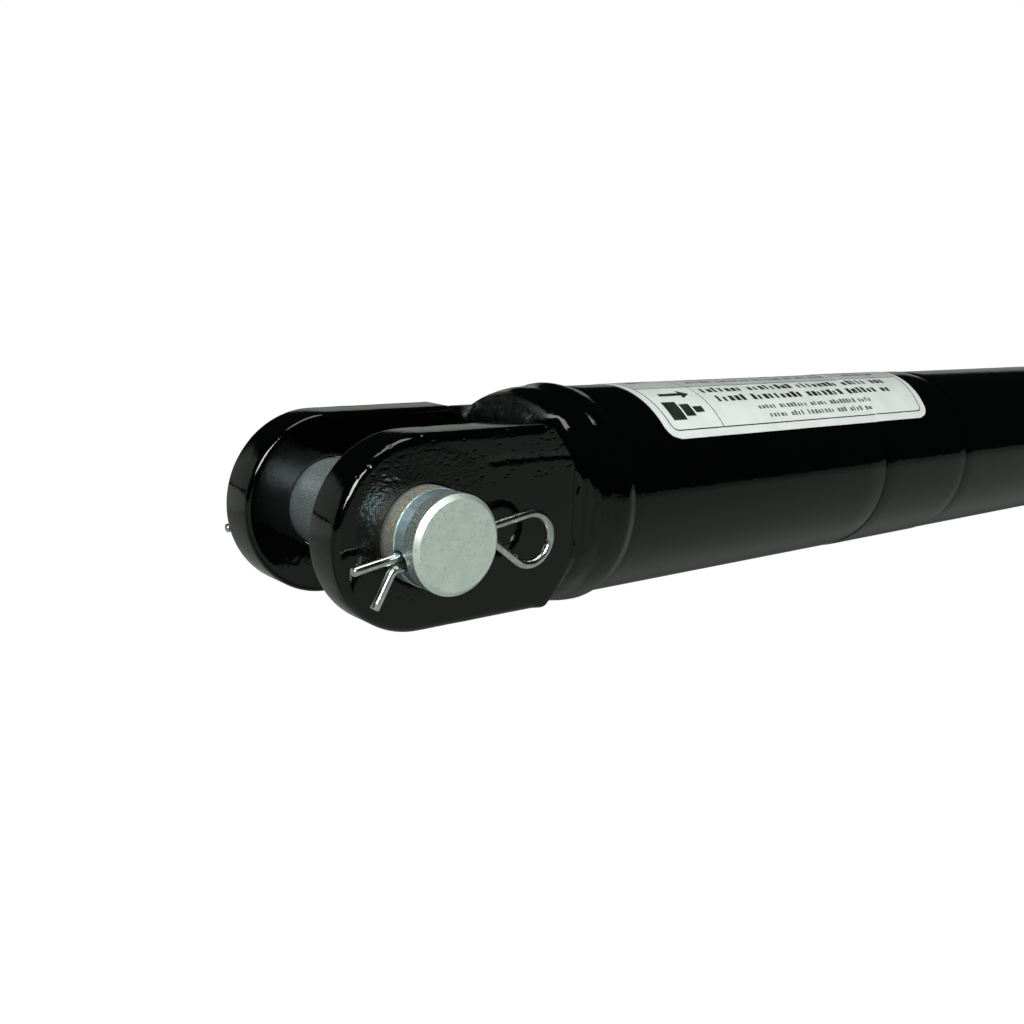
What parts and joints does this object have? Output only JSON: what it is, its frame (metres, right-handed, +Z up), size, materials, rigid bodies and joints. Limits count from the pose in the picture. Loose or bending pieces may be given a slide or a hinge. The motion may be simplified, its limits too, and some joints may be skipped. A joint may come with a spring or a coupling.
{
  "type": "telescopic hydraulic cylinder",
  "caption": "Black telescopic hydraulic cylinder with chromed nested stages, a welded clevis with a pin and split pins at each end, and a side oil port.",
  "frame": {"origin": "on the base clevis pin's axis, midway between the two ears", "axes": "+X along the cylinder toward the rod end, Y along both clevis pins with the oil port on the +Y side, +Z up"},
  "size_m": [0.662, 0.09, 0.0662],
  "materials": {
    "black_paint": "gloss",
    "label_film": "satin",
    "gland_steel": "satin",
    "guide_band": "matte",
    "seal_polyurethane": "satin",
    "nitrile_ring": "matte",
    "hard_chrome": "polished",
    "bronze": "machined",
    "stop_ring_steel": "satin",
    "zinc_plate": "zinc plated"
  },
  "bodies": {
    "barrel": {"base_ear_near": "black_paint", "base_ear_far": "black_paint", "base_plug": "black_paint", "base_clevis_weld": "black_paint", "base_seam_weld": "black_paint", "barrel_tube": "black_paint", "label": "label_film", "port_boss": "black_paint", "port_weld": "black_paint", "barrel_gland": "gland_steel", "barrel_guide_band": "guide_band", "barrel_seal": "seal_polyurethane", "barrel_wiper": "seal_polyurethane", "barrel_static_seal": "nitrile_ring"},
    "stage_one_ring": {"sleeve_foot_ring": "bronze"},
    "stage_one": {"sleeve_tube": "hard_chrome", "sleeve_stop_ring": "stop_ring_steel", "sleeve_gland": "gland_steel", "sleeve_guide_band": "guide_band", "sleeve_seal": "seal_polyurethane", "sleeve_wiper": "seal_polyurethane", "sleeve_static_seal": "nitrile_ring"},
    "stage_two_ring": {"plunger_foot_ring": "bronze"},
    "stage_two": {"plunger": "hard_chrome", "plunger_stop_ring": "stop_ring_steel", "plunger_weld": "black_paint", "rod_block": "black_paint", "rod_ear_near": "black_paint", "rod_ear_far": "black_paint", "rod_clevis_weld": "black_paint"},
    "base_pin": {"base_pin": "zinc_plate", "base_cotters": "zinc_plate"},
    "rod_pin": {"rod_pin": "zinc_plate", "rod_cotters": "zinc_plate"}
  },
  "joints": [
    {"name": "stage_one_slide", "type": "slide", "parent": "barrel", "child": "stage_one_ring", "axis": [1, 0, 0], "range_m": [0, 0.3556]},
    {"name": "stage_one_turn", "type": "hinge", "parent": "stage_one_ring", "child": "stage_one", "pos_m": [0.09, 0, 0], "axis": [1, 0, 0], "continuous": true},
    {"name": "stage_two_slide", "type": "slide", "parent": "stage_one", "child": "stage_two_ring", "axis": [1, 0, 0], "range_m": [0, 0.3556]},
    {"name": "stage_two_turn", "type": "hinge", "parent": "stage_two_ring", "child": "stage_two", "pos_m": [0.095, 0, 0], "axis": [1, 0, 0], "continuous": true},
    {"name": "base_pin_turn", "type": "hinge", "parent": "barrel", "child": "base_pin", "pos_m": [0, 0, 0], "axis": [0, 1, 0], "continuous": true},
    {"name": "rod_pin_turn", "type": "hinge", "parent": "stage_two", "child": "rod_pin", "pos_m": [0.6096, 0, 0], "axis": [0, 1, 0], "continuous": true}
  ]
}
